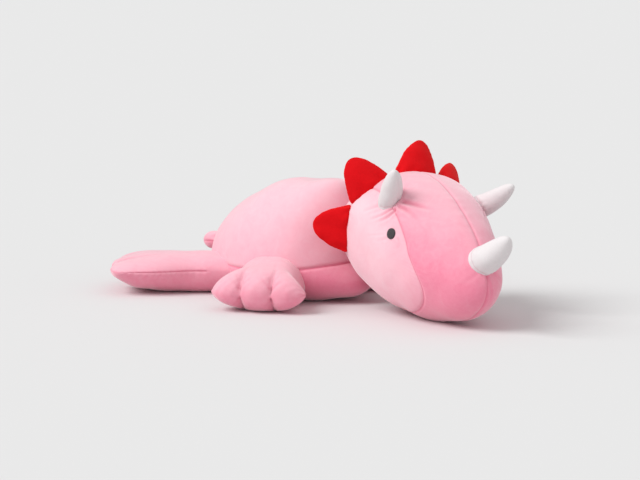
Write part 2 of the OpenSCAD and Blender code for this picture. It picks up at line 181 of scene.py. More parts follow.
# pile and pileDeep are the fabric's own tones, mottled at random; the pale tone is painted light and sheen;
# the seam tone is painted shade for the seams, creases and gathers, and on the red plush it is lighter, a
# painted highlight along the spikes' edge seams
plush = {
    "pinkPlush": {
        "pile": (240, 142, 167), "pileDeep": (235, 130, 156), "paintedSheenAndLight": (243, 202, 211),
        "paintedSeamTone": (212, 92, 122),
        "sheen": 0.8, "sheenTint": (255, 240, 243), "pileSize": 1800, "napSize": 55,
    },
    "redPlush": {
        "pile": (216, 2, 16), "pileDeep": (206, 1, 12), "paintedSheenAndLight": (226, 22, 28),
        # a seam tone lighter than the pile: a painted highlight along the spikes' edge seams
        "paintedSeamTone": (226, 92, 84),
        "sheen": 0.2, "sheenTint": (255, 150, 130), "pileSize": 1800, "napSize": 60,
    },
    "whitePlush": {
        "pile": (222, 216, 217), "pileDeep": (216, 209, 211), "paintedSheenAndLight": (228, 225, 225),
        "paintedSeamTone": (206, 180, 186),
        "sheen": 0.3, "sheenTint": (255, 255, 255), "pileSize": 1800, "napSize": 60,
    },
}
# painted light and shade for each panel, standing in for the sheen of its pile, which lies its own way, and
# for how the light falls:
# how pale each panel is painted, how much paler the face is toward the brow, and how much paler anything is
# where it faces up (painted light from above)
paintedLightByPanel = {
    "other": 0.3, "back": 0.52, "belly": 0.05, "face": 0.02, "brow": 0.3, "cheek": 0.85, "leg": 0.3,
    "up": 0.32,
}


def makePlush(name):
    # short pile: a fine mottle of fibre tips over a slower drift of the nap, with painted light and shade
    # laid over it: paler on top and on some panels, and painted shade down in the seams and creases (on the
    # red spikes a painted highlight along the edge seams)
    look = plush[name]
    n = Nodes(name)
    tips = n.noise(look["pileSize"], 3, 0.65)
    clumps = n.noise(260, 3, 0.6, 0.6)
    nap = n.noise(look["napSize"], 3, 0.55, 1.2)
    drift = n.noise(9, 2, 0.5, 0.4)
    colour = n.mix(n.ramp(clumps, 0.25, 0.75), linear(*look["pileDeep"]), linear(*look["pile"]))
    colour = n.mix(n.math("MULTIPLY", n.ramp(nap, 0.35, 0.7), 0.35), colour, linear(*look["pile"]))
    colour = n.mix(n.math("MULTIPLY", n.ramp(drift, 0.35, 0.65), 0.12), colour, linear(*look["pileDeep"]))
    # painted light and sheen: paler where the mesh's level says, streaked a little by the nap noise
    paintedLightLevel = n.add("ShaderNodeAttribute", attribute_name="paintedSheenAndLight")
    paintedLightStreaked = n.math("ADD", paintedLightLevel.outputs["Fac"], n.math("MULTIPLY", n.math("SUBTRACT", nap, 0.5), 0.3))
    colour = n.mix(paintedLightStreaked, colour, linear(*look["paintedSheenAndLight"]))
    # painted shade in the seams and creases, and a painted highlight on the red spikes' edges
    seam = n.add("ShaderNodeAttribute", attribute_name="paintedSeamShading")
    colour = n.mix(seam.outputs["Fac"], colour, linear(*look["paintedSeamTone"]))
    n.join(colour, n.shader.inputs["Base Color"])
    n.shader.inputs["Roughness"].default_value = 0.95
    n.shader.inputs["Specular IOR Level"].default_value = 0.15
    n.shader.inputs["Sheen Weight"].default_value = look["sheen"]
    n.shader.inputs["Sheen Roughness"].default_value = 0.45
    n.shader.inputs["Sheen Tint"].default_value = linear(*look["sheenTint"])
    soft = n.bump(clumps, 0.18, 0.0004)
    soft = n.bump(nap, 0.16, 0.0010, soft)
    n.join(n.bump(tips, 0.4, 0.0003, soft), n.shader.inputs["Normal"])
    return n.material


thread = {
    "eyeThread": {"strand": (44, 33, 37), "paintedGrooveShade": (24, 18, 22), "sheen": 0.3, "size": 2200},
    "pinkThread": {"strand": (226, 120, 148), "paintedGrooveShade": (186, 80, 108), "sheen": 0.2, "size": 2600},
}


def makeThread(name):
    # twisted strands: bands along the thread with a little fluff, painted darker between the strands as
    # painted shade in the grooves
    look = thread[name]
    n = Nodes(name)
    bands = n.add(
        "ShaderNodeTexWave", wave_type="BANDS", bands_direction="DIAGONAL", Scale=look["size"] / 6.28)
    bands.inputs["Distortion"].default_value = 1.5
    bands.inputs["Detail"].default_value = 2
    bands.inputs["Detail Scale"].default_value = 2
    n.join(n.coords, bands.inputs["Vector"])
    colour = n.mix(bands.outputs["Fac"], linear(*look["paintedGrooveShade"]), linear(*look["strand"]))
    n.join(colour, n.shader.inputs["Base Color"])
    n.shader.inputs["Roughness"].default_value = 0.6
    n.shader.inputs["Sheen Weight"].default_value = look["sheen"]
    soft = n.bump(n.noise(900, 2), 0.3, 0.0003)
    n.join(n.bump(bands.outputs["Fac"], 0.6, 0.0002, soft), n.shader.inputs["Normal"])
    return n.material


materials = {name: makePlush(name) for name in plush}
materials.update({name: makeThread(name) for name in thread})
print("materials made:", ", ".join(materials))


# Surfaces on a grid

def smoothStep(low, high, x):
    t = np.clip((x - low) / (high - low), 0, 1)
    return t * t * (3 - 2 * t)


def xyz(x, y, z):
    return np.stack(np.broadcast_arrays(x, y, z), -1)


def unit(v):
    return v / np.maximum(np.linalg.norm(v, axis=-1, keepdims=True), 1e-12)


def crowded(low, high, count, places, room, pull=2.5):
    # count values from low to high that stand closer together near the given places
    fine = np.linspace(low, high, 4000)
    density = 1 + sum(pull * np.exp(-(((fine - p) / room) ** 2)) for p in places)
    run = np.concatenate([[0], np.cumsum((density[1:] + density[:-1]) / 2)])
    return np.interp(np.linspace(0, run[-1], count), run, fine)


def gridNumbers(shape, zipLast):
    # each grid point's number; a pole row is one point, and a zipped last row meets itself in pairs
    m, n = shape
    number = np.arange(m * n).reshape(m, n)
    number[0] = number[0, 0]
    if zipLast:
        number[-1, n // 2 + 1:] = number[-1, 1:n // 2][::-1]
    else:
        number[-1] = number[-1, 0]
    return number


def gridFaces(number):
    # one face for each cell of the wrapped grid, as four corners, or three beside a pole
    nextColumn = np.roll(number, -1, axis=1)
    faces = np.stack([number[:-1], nextColumn[:-1], nextColumn[1:], number[1:]], -1).reshape(-1, 4)
    same = faces == np.roll(faces, -1, axis=1)
    faces = faces[same.sum(1) <= 1]
    same = faces == np.roll(faces, -1, axis=1)
    quads = faces[~same.any(1)]
    threes = faces[same.any(1)]
    rows = np.arange(len(threes))
    start = same[same.any(1)].argmax(1)
    threes = np.stack([threes[rows, (start + k) % 4] for k in (1, 2, 3)], -1)
    return quads, threes


def meshFromGrid(name, grid, zipLast=False, paintedShading=None, paintedLightLevel=None):
    number = gridNumbers(grid.shape[:2], zipLast)
    quads, threes = gridFaces(number)
    points = grid.reshape(-1, 3)
    corners = points[quads]
    turn = np.cross(corners[:, 1], corners[:, 2]) + np.cross(corners[:, 2], corners[:, 3])
    size = np.einsum("ij,ij->i", corners[:, 0], turn)
    if size.sum() < 0:  # the grid runs the other way round, so its faces are turned out
        quads, threes = quads[:, ::-1], threes[:, ::-1]
    used, place = np.unique(np.concatenate([quads.ravel(), threes.ravel()]), return_inverse=True)
    mesh = bpy.data.meshes.new(name)
    mesh.vertices.add(len(used))
    mesh.vertices.foreach_set("co", points[used].astype(np.float32).ravel())
    mesh.loops.add(len(place))
    mesh.loops.foreach_set("vertex_index", place.astype(np.int32))
    mesh.polygons.add(len(quads) + len(threes))
    starts = np.concatenate([np.arange(len(quads)) * 4, len(quads) * 4 + np.arange(len(threes)) * 3])
    mesh.polygons.foreach_set("loop_start", starts.astype(np.int32))
    mesh.polygons.foreach_set("use_smooth", np.ones(len(starts), bool))
    mesh.update(calc_edges=True)
    mesh.validate()
    # painted shading: a mask of painted shade in the seams and creases, and of a painted highlight on the
    # red spikes' edges
    if paintedShading is not None:
        layer = mesh.attributes.new("paintedSeamShading", "FLOAT", "POINT")
        layer.data.foreach_set("value", np.clip(paintedShading, 0, 1).ravel()[used].astype(np.float32))
        normal = np.zeros(len(used) * 3, np.float32)
        mesh.vertex_normals.foreach_get("vector", normal)
        normal = normal.reshape(-1, 3)
        # how pale each point is painted: its panel's level, paler still where the surface faces up, as
        # painted light from above
        base = paintedLightByPanel["other"] if paintedLightLevel is None else np.broadcast_to(paintedLightLevel, grid.shape[:2]).ravel()[used]
        layer = mesh.attributes.new("paintedSheenAndLight", "FLOAT", "POINT")
        pale = np.clip(base + paintedLightByPanel["up"] * normal[:, 2], 0, 1)
        layer.data.foreach_set("value", pale.astype(np.float32))
    return mesh


def sew(name, grid, finish, body, replaced, zipLast=False, paintedShading=None, paintedLightLevel=None):
    # a finished piece: its mesh, its material, the body that it rides on and what it stands for
    mesh = meshFromGrid(name, grid, zipLast, np.zeros(grid.shape[:2]) if paintedShading is None else paintedShading, paintedLightLevel)
    mesh.materials.append(materials[finish])
    piece = bpy.data.objects.new(name, mesh)
    bpy.context.scene.collection.objects.link(piece)
    if isinstance(body, dict):
        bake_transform(piece)
    else:
        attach(piece, body)
    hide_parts(*replaced)
    return piece


def outward(grid):
    # outward direction at each grid point, from the slopes along both of its lines
    along = np.gradient(grid, axis=0)
    around = (np.roll(grid, -1, axis=1) - np.roll(grid, 1, axis=1)) / 2
    normal = np.cross(along, around)
    for edge, inner in ((0, 1), (-1, -2)):
        normal[edge] = normal[inner].mean(0)
    normal = unit(normal)
    middle = grid.reshape(-1, 3).mean(0)
    return normal if (normal * (grid - middle)).sum() > 0 else -normal


def runFrom(grid, line):
    # distance along the grid's columns, from the row nearest to the given line
    steps = np.linalg.norm(np.diff(grid, axis=0), axis=-1)
    run = np.concatenate([np.zeros((1, grid.shape[1])), np.cumsum(steps, axis=0)])
    return run - run[line][None, :]


sliceOf = 1500


def nearestOf(points, others, count=1):
    # the nearest others of each point, and how far they are, worked out in slices
    found, away = [], []
    size = (others ** 2).sum(1)
    for part in np.array_split(points, max(1, len(points) // sliceOf)):
        square = (part ** 2).sum(1)[:, None] + size[None, :] - 2 * part @ others.T
        near = np.argpartition(square, count, axis=1)[:, :count]
        found.append(near)
        away.append(np.sqrt(np.maximum(np.take_along_axis(square, near, 1), 0)))
    return np.concatenate(found), np.concatenate(away)


def waves(points, size, count, seed):
    # smooth lumps about as big as size: a sum of sine waves in random directions
    rng = np.random.default_rng(seed)
    total = np.zeros(points.shape[:-1])
    ways = unit(rng.normal(size=(count, 3)))
    phases, stretches = rng.uniform(0, 6.28, count), rng.uniform(0.7, 1.4, count)
    for way, phase, stretch in zip(ways, phases, stretches):
        total += np.sin(points @ way * (2 * math.pi / (size * stretch)) + phase)
    return total / math.sqrt(count)


def lumpy(grid, normal, lumps):
    # pushes the grid in and out by waves, each given as size, count, seed and height
    push = sum(waves(grid, size, count, seed) * height for size, count, seed, height in lumps)
    return grid + normal * push[..., None]


def puckers(run, length, swing, rate, phase=0):
    # the gathers along a sewn edge: a sine wave whose spacing wanders by a slower one
    return np.sin(run * 2 * math.pi / length + swing * np.sin(run * rate + phase))


def pressFold(grid, normal, path, width, depth, lip=0.35):
    # a soft crease along a path: deepest at its start, fading to its end, with a low lip on each side; it
    # also gives how strongly each point is painted with shade in the crease
    points = grid.reshape(-1, 3)
    square = ((points[:, None, :] - path[None, :, :]) ** 2).sum(-1)
    nearest = square.argmin(1)
    away = np.sqrt(square.min(1))
    fade = (1 - nearest / (len(path) - 1)) ** 0.7
    dip = np.exp(-((away / width) ** 2))
    push = fade * (-dip + lip * np.exp(-(((away - 2.2 * width) / width) ** 2))) * depth
    return grid + normal * push.reshape(grid.shape[:2] + (1,)), (fade * dip).reshape(grid.shape[:2])


# Stuffing

pumping = {
    "pressure": 4.0, "frames": 20, "tension": 18, "bending": 0.6, "shear": 5, "quality": 6, "mass": 0.15,
    "neighbours": 6,  # how many points of the bag each grid point follows
}


def pumpUp(name, grid, away, voxel, cap, hold=0.005, zipLast=False):
    # a remeshed copy swells as cloth with its seams held, and the grid takes over its movement
    scene = bpy.context.scene
    blank = bpy.data.objects.new(name + "Blank", meshFromGrid(name + "Blank", grid, zipLast))
    scene.collection.objects.link(blank)
    remesh = blank.modifiers.new("remesh", "REMESH")
    remesh.mode = "VOXEL"
    remesh.voxel_size = voxel
    remeshed = blank.evaluated_get(bpy.context.evaluated_depsgraph_get())
    bag = bpy.data.objects.new(name + "Bag", bpy.data.meshes.new_from_object(remeshed))
    bpy.data.objects.remove(blank)
    scene.collection.objects.link(bag)
    rest = np.zeros(len(bag.data.vertices) * 3)
    bag.data.vertices.foreach_get("co", rest)
    rest = rest.reshape(-1, 3)
    points = grid.reshape(-1, 3)
    close, _ = nearestOf(rest, points)
    held = np.flatnonzero(away.ravel()[close[:, 0]] < hold)
    bag.vertex_groups.new(name="sewn").add([int(i) for i in held], 1.0, "REPLACE")
    cloth = bag.modifiers.new("cloth", "CLOTH")
    cloth.settings.quality = pumping["quality"]
    cloth.settings.mass = pumping["mass"]
    cloth.settings.tension_stiffness = cloth.settings.compression_stiffness = pumping["tension"]
    cloth.settings.shear_stiffness = pumping["shear"]
    cloth.settings.bending_stiffness = pumping["bending"]
    cloth.settings.use_pressure = True
    cloth.settings.uniform_pressure_force = pumping["pressure"]
    cloth.settings.vertex_group_mass = "sewn"
    cloth.settings.effector_weights.gravity = 0
    cloth.point_cache.frame_start, cloth.point_cache.frame_end = 1, pumping["frames"]
    for number in range(1, pumping["frames"] + 1):
        scene.frame_set(number)
    swollen = bag.evaluated_get(bpy.context.evaluated_depsgraph_get())
    moved = np.zeros(len(rest) * 3)
    swollen.data.vertices.foreach_get("co", moved)
    moved = moved.reshape(-1, 3) - rest
    length = np.linalg.norm(moved, axis=1, keepdims=True)
    moved *= np.minimum(1, cap / np.maximum(length, 1e-9))
    near, far = nearestOf(points, rest, pumping["neighbours"])
    weight = 1 / (far + voxel * 0.25) ** 2
    shift = (moved[near] * weight[..., None]).sum(1) / weight.sum(1, keepdims=True)
    bpy.data.objects.remove(bag)
    scene.frame_set(1)
    most = round(float(length.max()) * 1000, 1)
    print("  pumped", name, "with", len(rest), "points: moves", most, "mm at most")
    return grid + shift.reshape(grid.shape)


# Torso

torso = {
    "rear": 0.178, "front": 0.108, "width": 0.206, "height": 0.176, "seam": 0.046, "seamRise": 0.015,
    "chestBulge": 0.034, "endTaper": 0.14, "sunk": 0.003, "backRound": 1.12, "bellyRound": 0.55,
    "rumpRound": 0.24, "napeRound": 0.6, "napeLift": 0.022,
    "slack": 0.001, "voxel": 0.007, "cap": 0.005, "seamDeep": 0.0017, "seamWide": 0.0028,
    "lumps": ((0.11, 14, 3, 0.0011), (0.045, 14, 5, 0.0004)),
}


def torsoSurface(turn, climb, inset):
    # an egg over its seam: reach forward or back by cos(turn), width by sin(turn), both closing as a
    # power of cos(climb); the height climbs as sin(climb) over the seam and drops as it below, and the
    # nape is lifted by the square of sin(2 climb)
    t = torso
    ahead, rise = np.cos(turn), np.sin(climb)
    shut = np.maximum(0, np.cos(climb))
    chest = np.maximum(0, ahead) ** 2
    over = t["backRound"] + t["rumpRound"] * np.maximum(0, -ahead) ** 2 - t["napeRound"] * chest
    closing = np.where(climb > 0, shut ** over, shut ** t["bellyRound"])
    bulge = np.where(climb < 0, t["chestBulge"] * chest * np.sin(-2 * climb), 0)
    reach = np.where(ahead > 0, t["front"] + bulge, t["rear"]) - inset
    side = (t["width"] / 2 - inset) * (1 - t["endTaper"] * ahead ** 2)
    seam = t["seam"] + t["seamRise"] * chest
    lift = t["napeLift"] * chest * np.sin(2 * climb) ** 2
    height = np.where(climb > 0, (t["height"] - seam - inset) * rise + lift, (seam + t["sunk"]) * rise)
    return xyz(reach * ahead * closing, side * np.sin(turn) * closing, seam + height)


def onFloor(grid, lowest=0.0):
    # presses what hangs below the floor out flat
    out = grid.copy()
    out[..., 2] = np.maximum(out[..., 2], lowest)
    return out


def makeTorso():
    t = torso
    turns = np.radians(np.arange(0, 360, 1.5))
    climbs = np.radians(crowded(-90, 90, 190, [0], 5, 4))
    line = int(np.abs(climbs).argmin())
    climbs[line] = 0
    grid = onFloor(torsoSurface(turns[None, :], climbs[:, None], t["slack"]))
    away = runFrom(grid, line)
    flat = grid[..., 2] < 0.002
    held = np.where(flat, 0, np.abs(away))
    grid = onFloor(pumpUp("torso", grid, held, t["voxel"], t["cap"]))
    normal = outward(grid)
    grid = lumpy(grid, normal, t["lumps"])
    # the side seam: a groove, and puckers that die away from it
    along = turns[None, :] * 0.13
    groove = np.exp(-((away / t["seamWide"]) ** 2))
    pucker = puckers(along, 0.0125, 1.7, 41) * (0.6 + 0.4 * np.sin(along * 23 + 1))
    push = -t["seamDeep"] * groove + 0.00045 * pucker * np.exp(-np.abs(away) / 0.011) * (1 - groove)
    grid = onFloor(grid + normal * push[..., None])
    # painted shade along the side seam's groove; the back is painted paler and the belly deeper, as painted
    # light from above and shade below
    sew("torso_cover", grid, "pinkPlush", "torso", ["back_panel", "belly_panel", "body_stuffing"],
        paintedShading=0.55 * np.exp(-((away / 0.0016) ** 2)),
        paintedLightLevel=np.where(climbs[:, None] > 0, paintedLightByPanel["back"], paintedLightByPanel["belly"]))


makeTorso()
print("torso sewn")


# Head

head = {
    "skull": 0.104, "muzzle": 0.077, "reach": 0.117, "width": 0.192, "sweep": 0.060,
    "browHalf": 47, "chinHalf": 20, "nod": 13, "turn": 20, "lean": 3, "place": (0.222, 0.011),
    "muzzleAim": 92, "skullRound": 0.85, "muzzleRound": 0.6,
    "frillAt": -31, "frillUnder": 200, "throatAt": 240, "sunk": 0.003,
    "slack": 0.001, "voxel": 0.0065, "cap": 0.004, "seamDeep": 0.0013, "seamWide": 0.0024,
    "lumps": ((0.085, 14, 11, 0.0008), (0.035, 14, 13, 0.0003)),
}


def turned(axis, degrees):
    a = math.radians(degrees)
    c, s = math.cos(a), math.sin(a)
    return np.array({
        "x": [[1, 0, 0], [0, c, -s], [0, s, c]],
        "y": [[c, 0, s], [0, 1, 0], [-s, 0, c]],
        "z": [[c, -s, 0], [s, c, 0], [0, 0, 1]],
    }[axis])


headPose = turned("z", -head["turn"]) @ turned("y", head["nod"]) @ turned("x", -head["lean"])


def headSurface(round_, across, inset=0.0):
    # in side view a circle that goes over into the muzzle's, a reach ahead of it; each slice closes as
    # a power of cos(across) toward the cheeks, which sweep back; angles in degrees
    h = head
    a, b, aim = np.radians(round_), np.radians(across), math.radians(h["muzzleAim"])
    share = ((1 + np.cos(a - aim)) / 2) ** 2
    r = h["skull"] + share * (h["muzzle"] - h["skull"]) - inset
    closing = np.maximum(0, np.cos(b)) ** (h["skullRound"] + h["muzzleRound"] * share)
    forward = share * h["reach"] * math.sin(aim) + r * np.sin(a)
    up = share * h["reach"] * math.cos(aim) + r * np.cos(a)
    side = (h["width"] / 2 - inset) * np.sin(b)
    return xyz(forward * closing - h["sweep"] * (1 - np.cos(b)), side, up * closing)


underside = headSurface(np.arange(90, 271, 10)[:, None], np.arange(-60, 61, 10)[None, :])
chin = (underside @ headPose.T)[..., 2].min()
skull = np.array([head["place"][0], head["place"][1], -chin - head["sunk"]])


def onHead(round_, across, inset=0.0):
    return skull + headSurface(np.asarray(round_, float), np.asarray(across, float), inset) @ headPose.T


def headOut(round_, across):
    # outward direction of the head at one place
    along = onHead(round_ + 1, across) - onHead(round_ - 1, across)
    aside = onHead(round_, across + 1) - onHead(round_, across - 1)
    return unit(np.cross(along, aside))


def seamHalf(round_):
    h = head
    front = h["browHalf"] + (h["chinHalf"] - h["browHalf"]) * smoothStep(60, 190, round_)
    grown = smoothStep(h["throatAt"], 360 + h["frillAt"], round_)
    behind = h["chinHalf"] + (h["browHalf"] - h["chinHalf"]) * grown
    return np.where(round_ < h["throatAt"], front, behind)


def makeHead():
    h = head
    start, end = h["frillAt"], 360 + h["frillAt"]
    rounds = crowded(start, end, 261, [start, h["throatAt"], end, 20], 8, 2)[:-1]
    parts = crowded(-2, 2, 221, [-1, 0, 1], 0.09, 3)
    middle, right, left = (int(np.abs(parts - p).argmin()) for p in (0, -1, 1))
    parts[[middle, right, left]] = 0, -1, 1
    half = seamHalf(rounds)[None, :]
    p = parts[:, None]
    across = np.where(np.abs(p) < 1, half * p, np.sign(p) * (half + (90 - half) * (np.abs(p) - 1)))
    grid = onFloor(onHead(np.broadcast_to(rounds, across.shape), across, h["slack"]))
    face = (rounds <= h["throatAt"])[None, :]
    runs = [np.abs(runFrom(grid, line)) for line in (middle, right, left)]
    # the frill seam goes round over the crown and down behind the cheeks
    gaps = [rounds[None, :] - start, end - rounds[None, :], np.abs(rounds[None, :] - h["throatAt"])]
    reachOut = np.linalg.norm(grid - skull, axis=-1)
    frillRun = np.radians(np.minimum.reduce(gaps)) * reachOut * np.cos(np.radians(across)) ** 0.9
    seams = [np.where(face, run, 1.0) for run in runs] + [frillRun]
    away = np.minimum.reduce(seams)
    held = np.where(grid[..., 2] < 0.002, 0, away)
    grid = onFloor(pumpUp("head", grid, held, h["voxel"], h["cap"]))
    normal = outward(grid)
    grid = lumpy(grid, normal, h["lumps"])
    along = np.radians(rounds)[None, :] * 0.11
    push = np.zeros(away.shape)
    # painted shade along the seam grooves, fainter along the frill seam
    paintedShading = np.zeros(away.shape)
    for k, run in enumerate(seams):
        way = along if k < 3 else np.radians(across) * 0.11
        groove = np.exp(-((run / h["seamWide"]) ** 2))
        pucker = puckers(way, 0.0105, 1.9, 47, k) * (0.6 + 0.4 * np.sin(way * 29 + 2 * k))
        push += -h["seamDeep"] * groove + 0.0004 * pucker * np.exp(-run / 0.010) * (1 - groove)
        paintedShading = np.maximum(paintedShading, (0.45 if k < 3 else 0.2) * np.exp(-((run / 0.0014) ** 2)))
    grid = grid + normal * push[..., None]
    # gathers: depth and width in millimetres, then the fold's places as round and across in degrees
    for deep, wide, *places in headFolds:
        stops = np.array(places, float)
        t = np.linspace(0, 1, 28)
        legs = np.linspace(0, 1, len(stops))
        path = onHead(np.interp(t, legs, stops[:, 0]), np.interp(t, legs, stops[:, 1]))
        grid, dark = pressFold(grid, normal, path, wide / 1000, deep / 1000)
        # painted shade in each gather's crease
        paintedShading = np.maximum(paintedShading, 0.5 * dark * min(1, deep / 3))
    # painted light and shade by panel: the face deep, paler toward the brow, the cheeks paler, more so
    # toward the sides
    onFace = paintedLightByPanel["face"] + paintedLightByPanel["brow"] * (1 - smoothStep(0, 75, rounds))[None, :]
    onCheek = paintedLightByPanel["cheek"] * (0.62 + 0.38 * smoothStep(1.0, 1.5, np.abs(p)))
    sew("head_cover", onFloor(grid), "pinkPlush", "head",
        ["right_face", "left_face", "right_cheek", "left_cheek", "head_back_panel", "head_stuffing"],
        paintedShading=paintedShading, paintedLightLevel=np.where(face & (np.abs(p) <= 1), onFace, onCheek))


headFolds = [
    (3.2, 2.8, (13, -38), (19, -30), (24, -22)),
    (2.4, 2.4, (16, -42), (24, -38), (33, -35)),
    (2.6, 2.2, (18, -46), (24, -53), (28, -61)),
    (2.4, 2.0, (16, -48), (20, -57), (22, -66)),
    (2.0, 2.2, (8, -50), (6, -60), (4, -68)),
    (1.6, 2.2, (4, -37), (0, -30), (-6, -24)),
    (2.4, 2.4, (20, 54), (32, 64), (44, 72)),
    (2.0, 2.3, (24, 49), (38, 54), (52, 58)),
    (1.8, 2.2, (26, 42), (40, 40), (52, 42)),
    (1.6, 2.2, (18, 40), (28, 30), (38, 20)),
    (0.9, 1.5, (51, -56), (60, -61), (68, -64)),
    (0.9, 1.5, (51, -51), (62, -51), (72, -55)),
    (0.7, 1.4, (47, -59), (54, -66), (62, -70)),
    (0.9, 1.5, (50, 56), (60, 58), (70, 58)),
    (0.8, 1.4, (49, 50), (58, 46), (68, 44)),
    (1.4, 2.0, (74, 0), (88, 4), (100, 5)),
    (1.0, 1.8, (70, -7), (80, -16), (90, -22)),
    (1.0, 1.8, (70, 7), (80, 16), (90, 22)),
]
makeHead()
print("head sewn")


# Neck

neckFold = {"place": (0.107, -0.004, 0.103), "size": 0.031, "deep": 0.0012, "pleats": 17}


def makeNeck():
    # a ball with upright gathers, so that it looks the same however the head turns or nods
    n = neckFold
    round_ = np.radians(np.arange(0, 360, 2))[None, :]
    climb = np.radians(np.linspace(0, 180, 70))[:, None]
    pleat = np.cos(n["pleats"] * round_ + 1.3 * np.sin(3 * round_)) * np.sin(climb) ** 2
    r = n["size"] + n["deep"] * pleat
    axis = xyz(np.cos(climb), np.sin(climb) * np.cos(round_), np.sin(climb) * np.sin(round_))
    grid = np.array(n["place"]) + axis * r[..., None]
    # painted shade in the deepest pleat valleys
    sew("neck_cover", grid, "pinkPlush", "neck", ["neck_stuffing"], paintedShading=0.25 * (pleat < -0.6))


makeNeck()
print("neck sewn")


# Horns

horns = {
    "right_brow_horn": {
        "round": 4, "across": -44, "tip": 32, "splay": -17, "long": 0.062, "wide": 0.0166,
        "bend": 0.001, "seed": 21,
    },
    "left_brow_horn": {
        "round": 14, "across": 47, "tip": 44, "splay": 21, "long": 0.065, "wide": 0.0168,
        "bend": 0.003, "seed": 22,
    },
    "nose_horn": {
        "round": 60, "across": 0, "tip": 48, "splay": 0, "long": 0.070, "wide": 0.0208,
        "bend": 0.004, "seed": 23,
    },
}
hornRoot = 0.014


def makeHorn(name):
    # a cone whose radius falls as a power of cos and whose height grows as sin, bowed along its length
    h = horns[name]
    tip, splay = math.radians(h["tip"]), math.radians(h["splay"])
    level = math.cos(splay)
    way = headPose @ np.array([math.sin(tip) * level, math.sin(splay), math.cos(tip) * level])
    place = onHead(h["round"], h["across"])
    bow = unit(headPose @ np.array([-math.cos(tip), 0, math.sin(tip)]))
    bow = unit(bow - way * (bow @ way))
    side = np.cross(way, bow)
    out = headOut(h["round"], h["across"])
    around = np.radians(np.arange(0, 360, 3.75))[None, :]
    climb = np.radians(np.concatenate([[0, 0.01], crowded(1, 90, 70, [16], 6, 1.5)]))[:, None]
    length = h["long"] + hornRoot
    high = length * np.sin(climb)
    r = h["wide"] * np.cos(climb) ** 0.96
    r = np.where(climb == 0, 0, r)
    t = high / length
    bend = h["bend"] * (t ** 2 - 0.9 * t) * 4
    grid = (place - way * hornRoot + way * high[..., None] + bow * bend[..., None]
            + r[..., None] * (np.cos(around)[..., None] * bow + np.sin(around)[..., None] * side))
    normal = outward(grid)
    # gathers where it is sewn on, and soft dents up its side
    over = (grid - place) @ out
    root = np.exp(-((over - 0.001) / 0.006) ** 2)
    rng = np.random.default_rng(h["seed"])
    pleat = sum(np.cos(k * around + rng.uniform(0, 6.28)) for k in (7, 9, 12)) / 3
    push = -0.0008 * np.exp(-((over - 0.0005) / 0.0018) ** 2) + 0.0006 * root * pleat
    push = push + waves(grid, 0.03, 10, h["seed"]) * 0.0005 * np.clip(high / length * 3, 0, 1)
    # the seam up its back, and the turned tip
    back = np.abs(np.angle(np.exp(1j * (around - math.radians(200))))) * r
    groove = np.exp(-((back / 0.0016) ** 2)) * np.clip((1 - t) * 6, 0, 1)
    push = push - 0.0004 * groove
    grid = grid + normal * push[..., None]
    # painted shade in the gathers at the root and along the seam groove up its back
    paintedShading = np.maximum(0.6 * np.exp(-((over - 0.0003) / 0.0012) ** 2), 0.12 * groove)
    sew(name + "_cover", grid, "whitePlush", "head", [name, name + "_stuffing"], paintedShading=paintedShading)


for hornName in horns:
    makeHorn(hornName)
print("horns sewn")


# Frill

frill = {
    "wide": 0.074, "high": 0.044, "thick": 0.020, "straight": 0.3, "off": 0.001,
    "spikes": {  # place round the frill, size, lean back and sideways pull of the tip
        "right_low": (-90, 0.95, 27, 0), "right_high": (-47, 1.07, 7, 0.010), "top": (0, 1, 0, 0.011),
        "left_high": (41, 0.84, 30, 0), "left_low": (90, 0.95, 27, 0),
    },
}


def frillPlace(turn):
    turn = np.asarray(turn, float)
    beyond = np.abs(turn) > 90
    over = onHead(head["frillAt"], np.where(beyond, 0, turn))
    under = onHead(head["frillUnder"], np.where(beyond, np.sign(turn) * 180 - turn, 0))
    return np.where(beyond[..., None], under, over)


